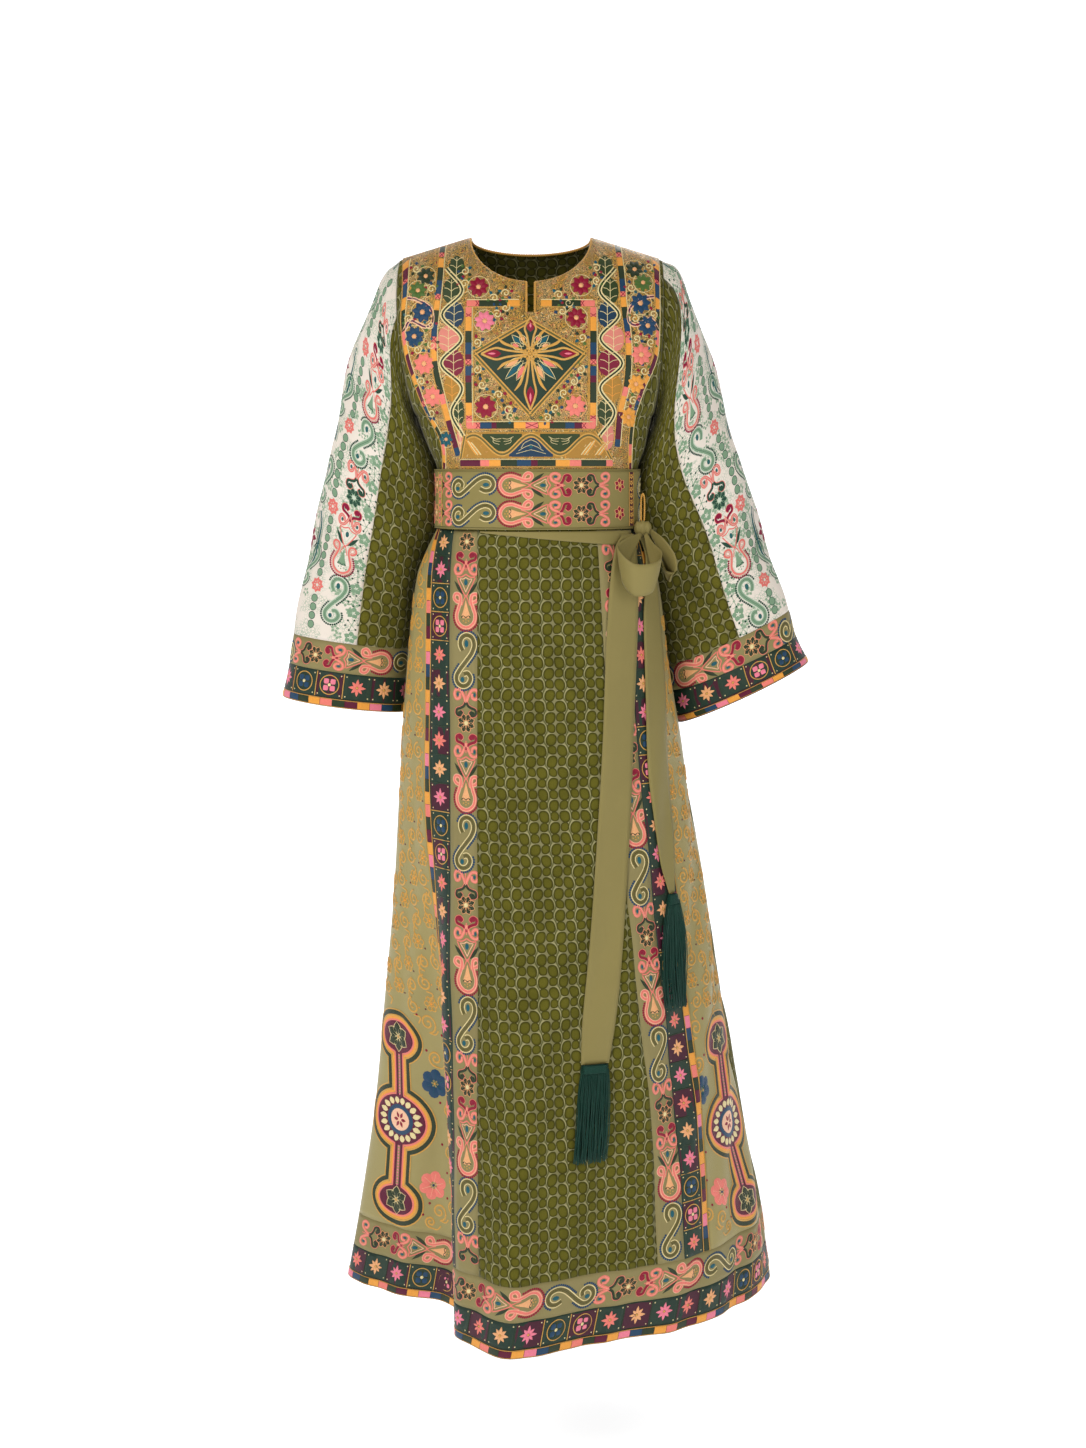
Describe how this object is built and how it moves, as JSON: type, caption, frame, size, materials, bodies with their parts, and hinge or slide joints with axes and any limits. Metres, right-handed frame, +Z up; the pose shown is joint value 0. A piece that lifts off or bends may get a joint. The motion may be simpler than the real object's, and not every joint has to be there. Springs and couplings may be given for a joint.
{
  "type": "thobe dress with embroidered bands, chest panel and bow-tied belt",
  "caption": "Full-length hollow thobe with a round slit neck, flared sleeves, embroidered chest panel, bands down the front and round the hem, and a tied belt with tassels.",
  "frame": {"origin": "between the shoulders of the wearer, at shoulder height, where the garment is held up", "axes": "+Z up; the front of the garment faces -Y; +X is towards the right-hand side as seen by someone facing the front"},
  "size_m": [0.6879, 0.4794, 1.3639],
  "materials": {
    "leaf_velvet": "silk ground with cut-velvet leaves",
    "gold_couching": "gold couched embroidery on dark cloth",
    "printed_cotton": "matt printed cotton",
    "stripe_binding": "satin-stitch stripes",
    "star_band": "satin-stitch stars on dark cloth",
    "motif_band": "satin-stitch motifs on plain silk",
    "medallion_cloth": "silk with couched medallions",
    "tassel_silk": "silk strands",
    "gold_cord": "twisted gold cord",
    "belt_silk": "plain silk with embroidery"
  },
  "bodies": {
    "root": {"bodice_front": "leaf_velvet", "bodice_back": "leaf_velvet", "chest_panel": "gold_couching", "neck_binding": "gold_couching", "skirt_side_left": "medallion_cloth", "front_stripe_binding_left": "stripe_binding", "front_star_band_left": "star_band", "front_motif_band_left": "motif_band", "skirt_front_panel": "leaf_velvet", "front_motif_band_right": "motif_band", "front_star_band_right": "star_band", "front_stripe_binding_right": "stripe_binding", "skirt_side_right": "medallion_cloth", "skirt_back_right": "leaf_velvet", "skirt_back_left": "leaf_velvet", "hem_motif_band_front": "motif_band", "hem_motif_band_back": "motif_band", "hem_star_band_front": "star_band", "hem_star_band_back": "star_band", "hem_stripe_binding_front": "stripe_binding", "hem_stripe_binding_back": "stripe_binding", "sleeve_print_panel_left": "printed_cotton", "sleeve_velvet_front_left": "leaf_velvet", "sleeve_velvet_back_left": "leaf_velvet", "cuff_motif_band_left": "motif_band", "cuff_star_band_left": "star_band", "cuff_stripe_binding_left": "stripe_binding", "sleeve_print_panel_right": "printed_cotton", "sleeve_velvet_front_right": "leaf_velvet", "sleeve_velvet_back_right": "leaf_velvet", "cuff_motif_band_right": "motif_band", "cuff_star_band_right": "star_band", "cuff_stripe_binding_right": "stripe_binding", "belt_band": "belt_silk", "under_tie": "belt_silk", "tie_tail_left": "belt_silk", "tie_tail_right": "belt_silk", "bow_knot": "belt_silk", "bow_loop_front": "belt_silk", "bow_loop_back": "belt_silk", "belt_cord": "gold_cord", "tassel_left": "tassel_silk", "tassel_right": "tassel_silk"}
  },
  "joints": []
}
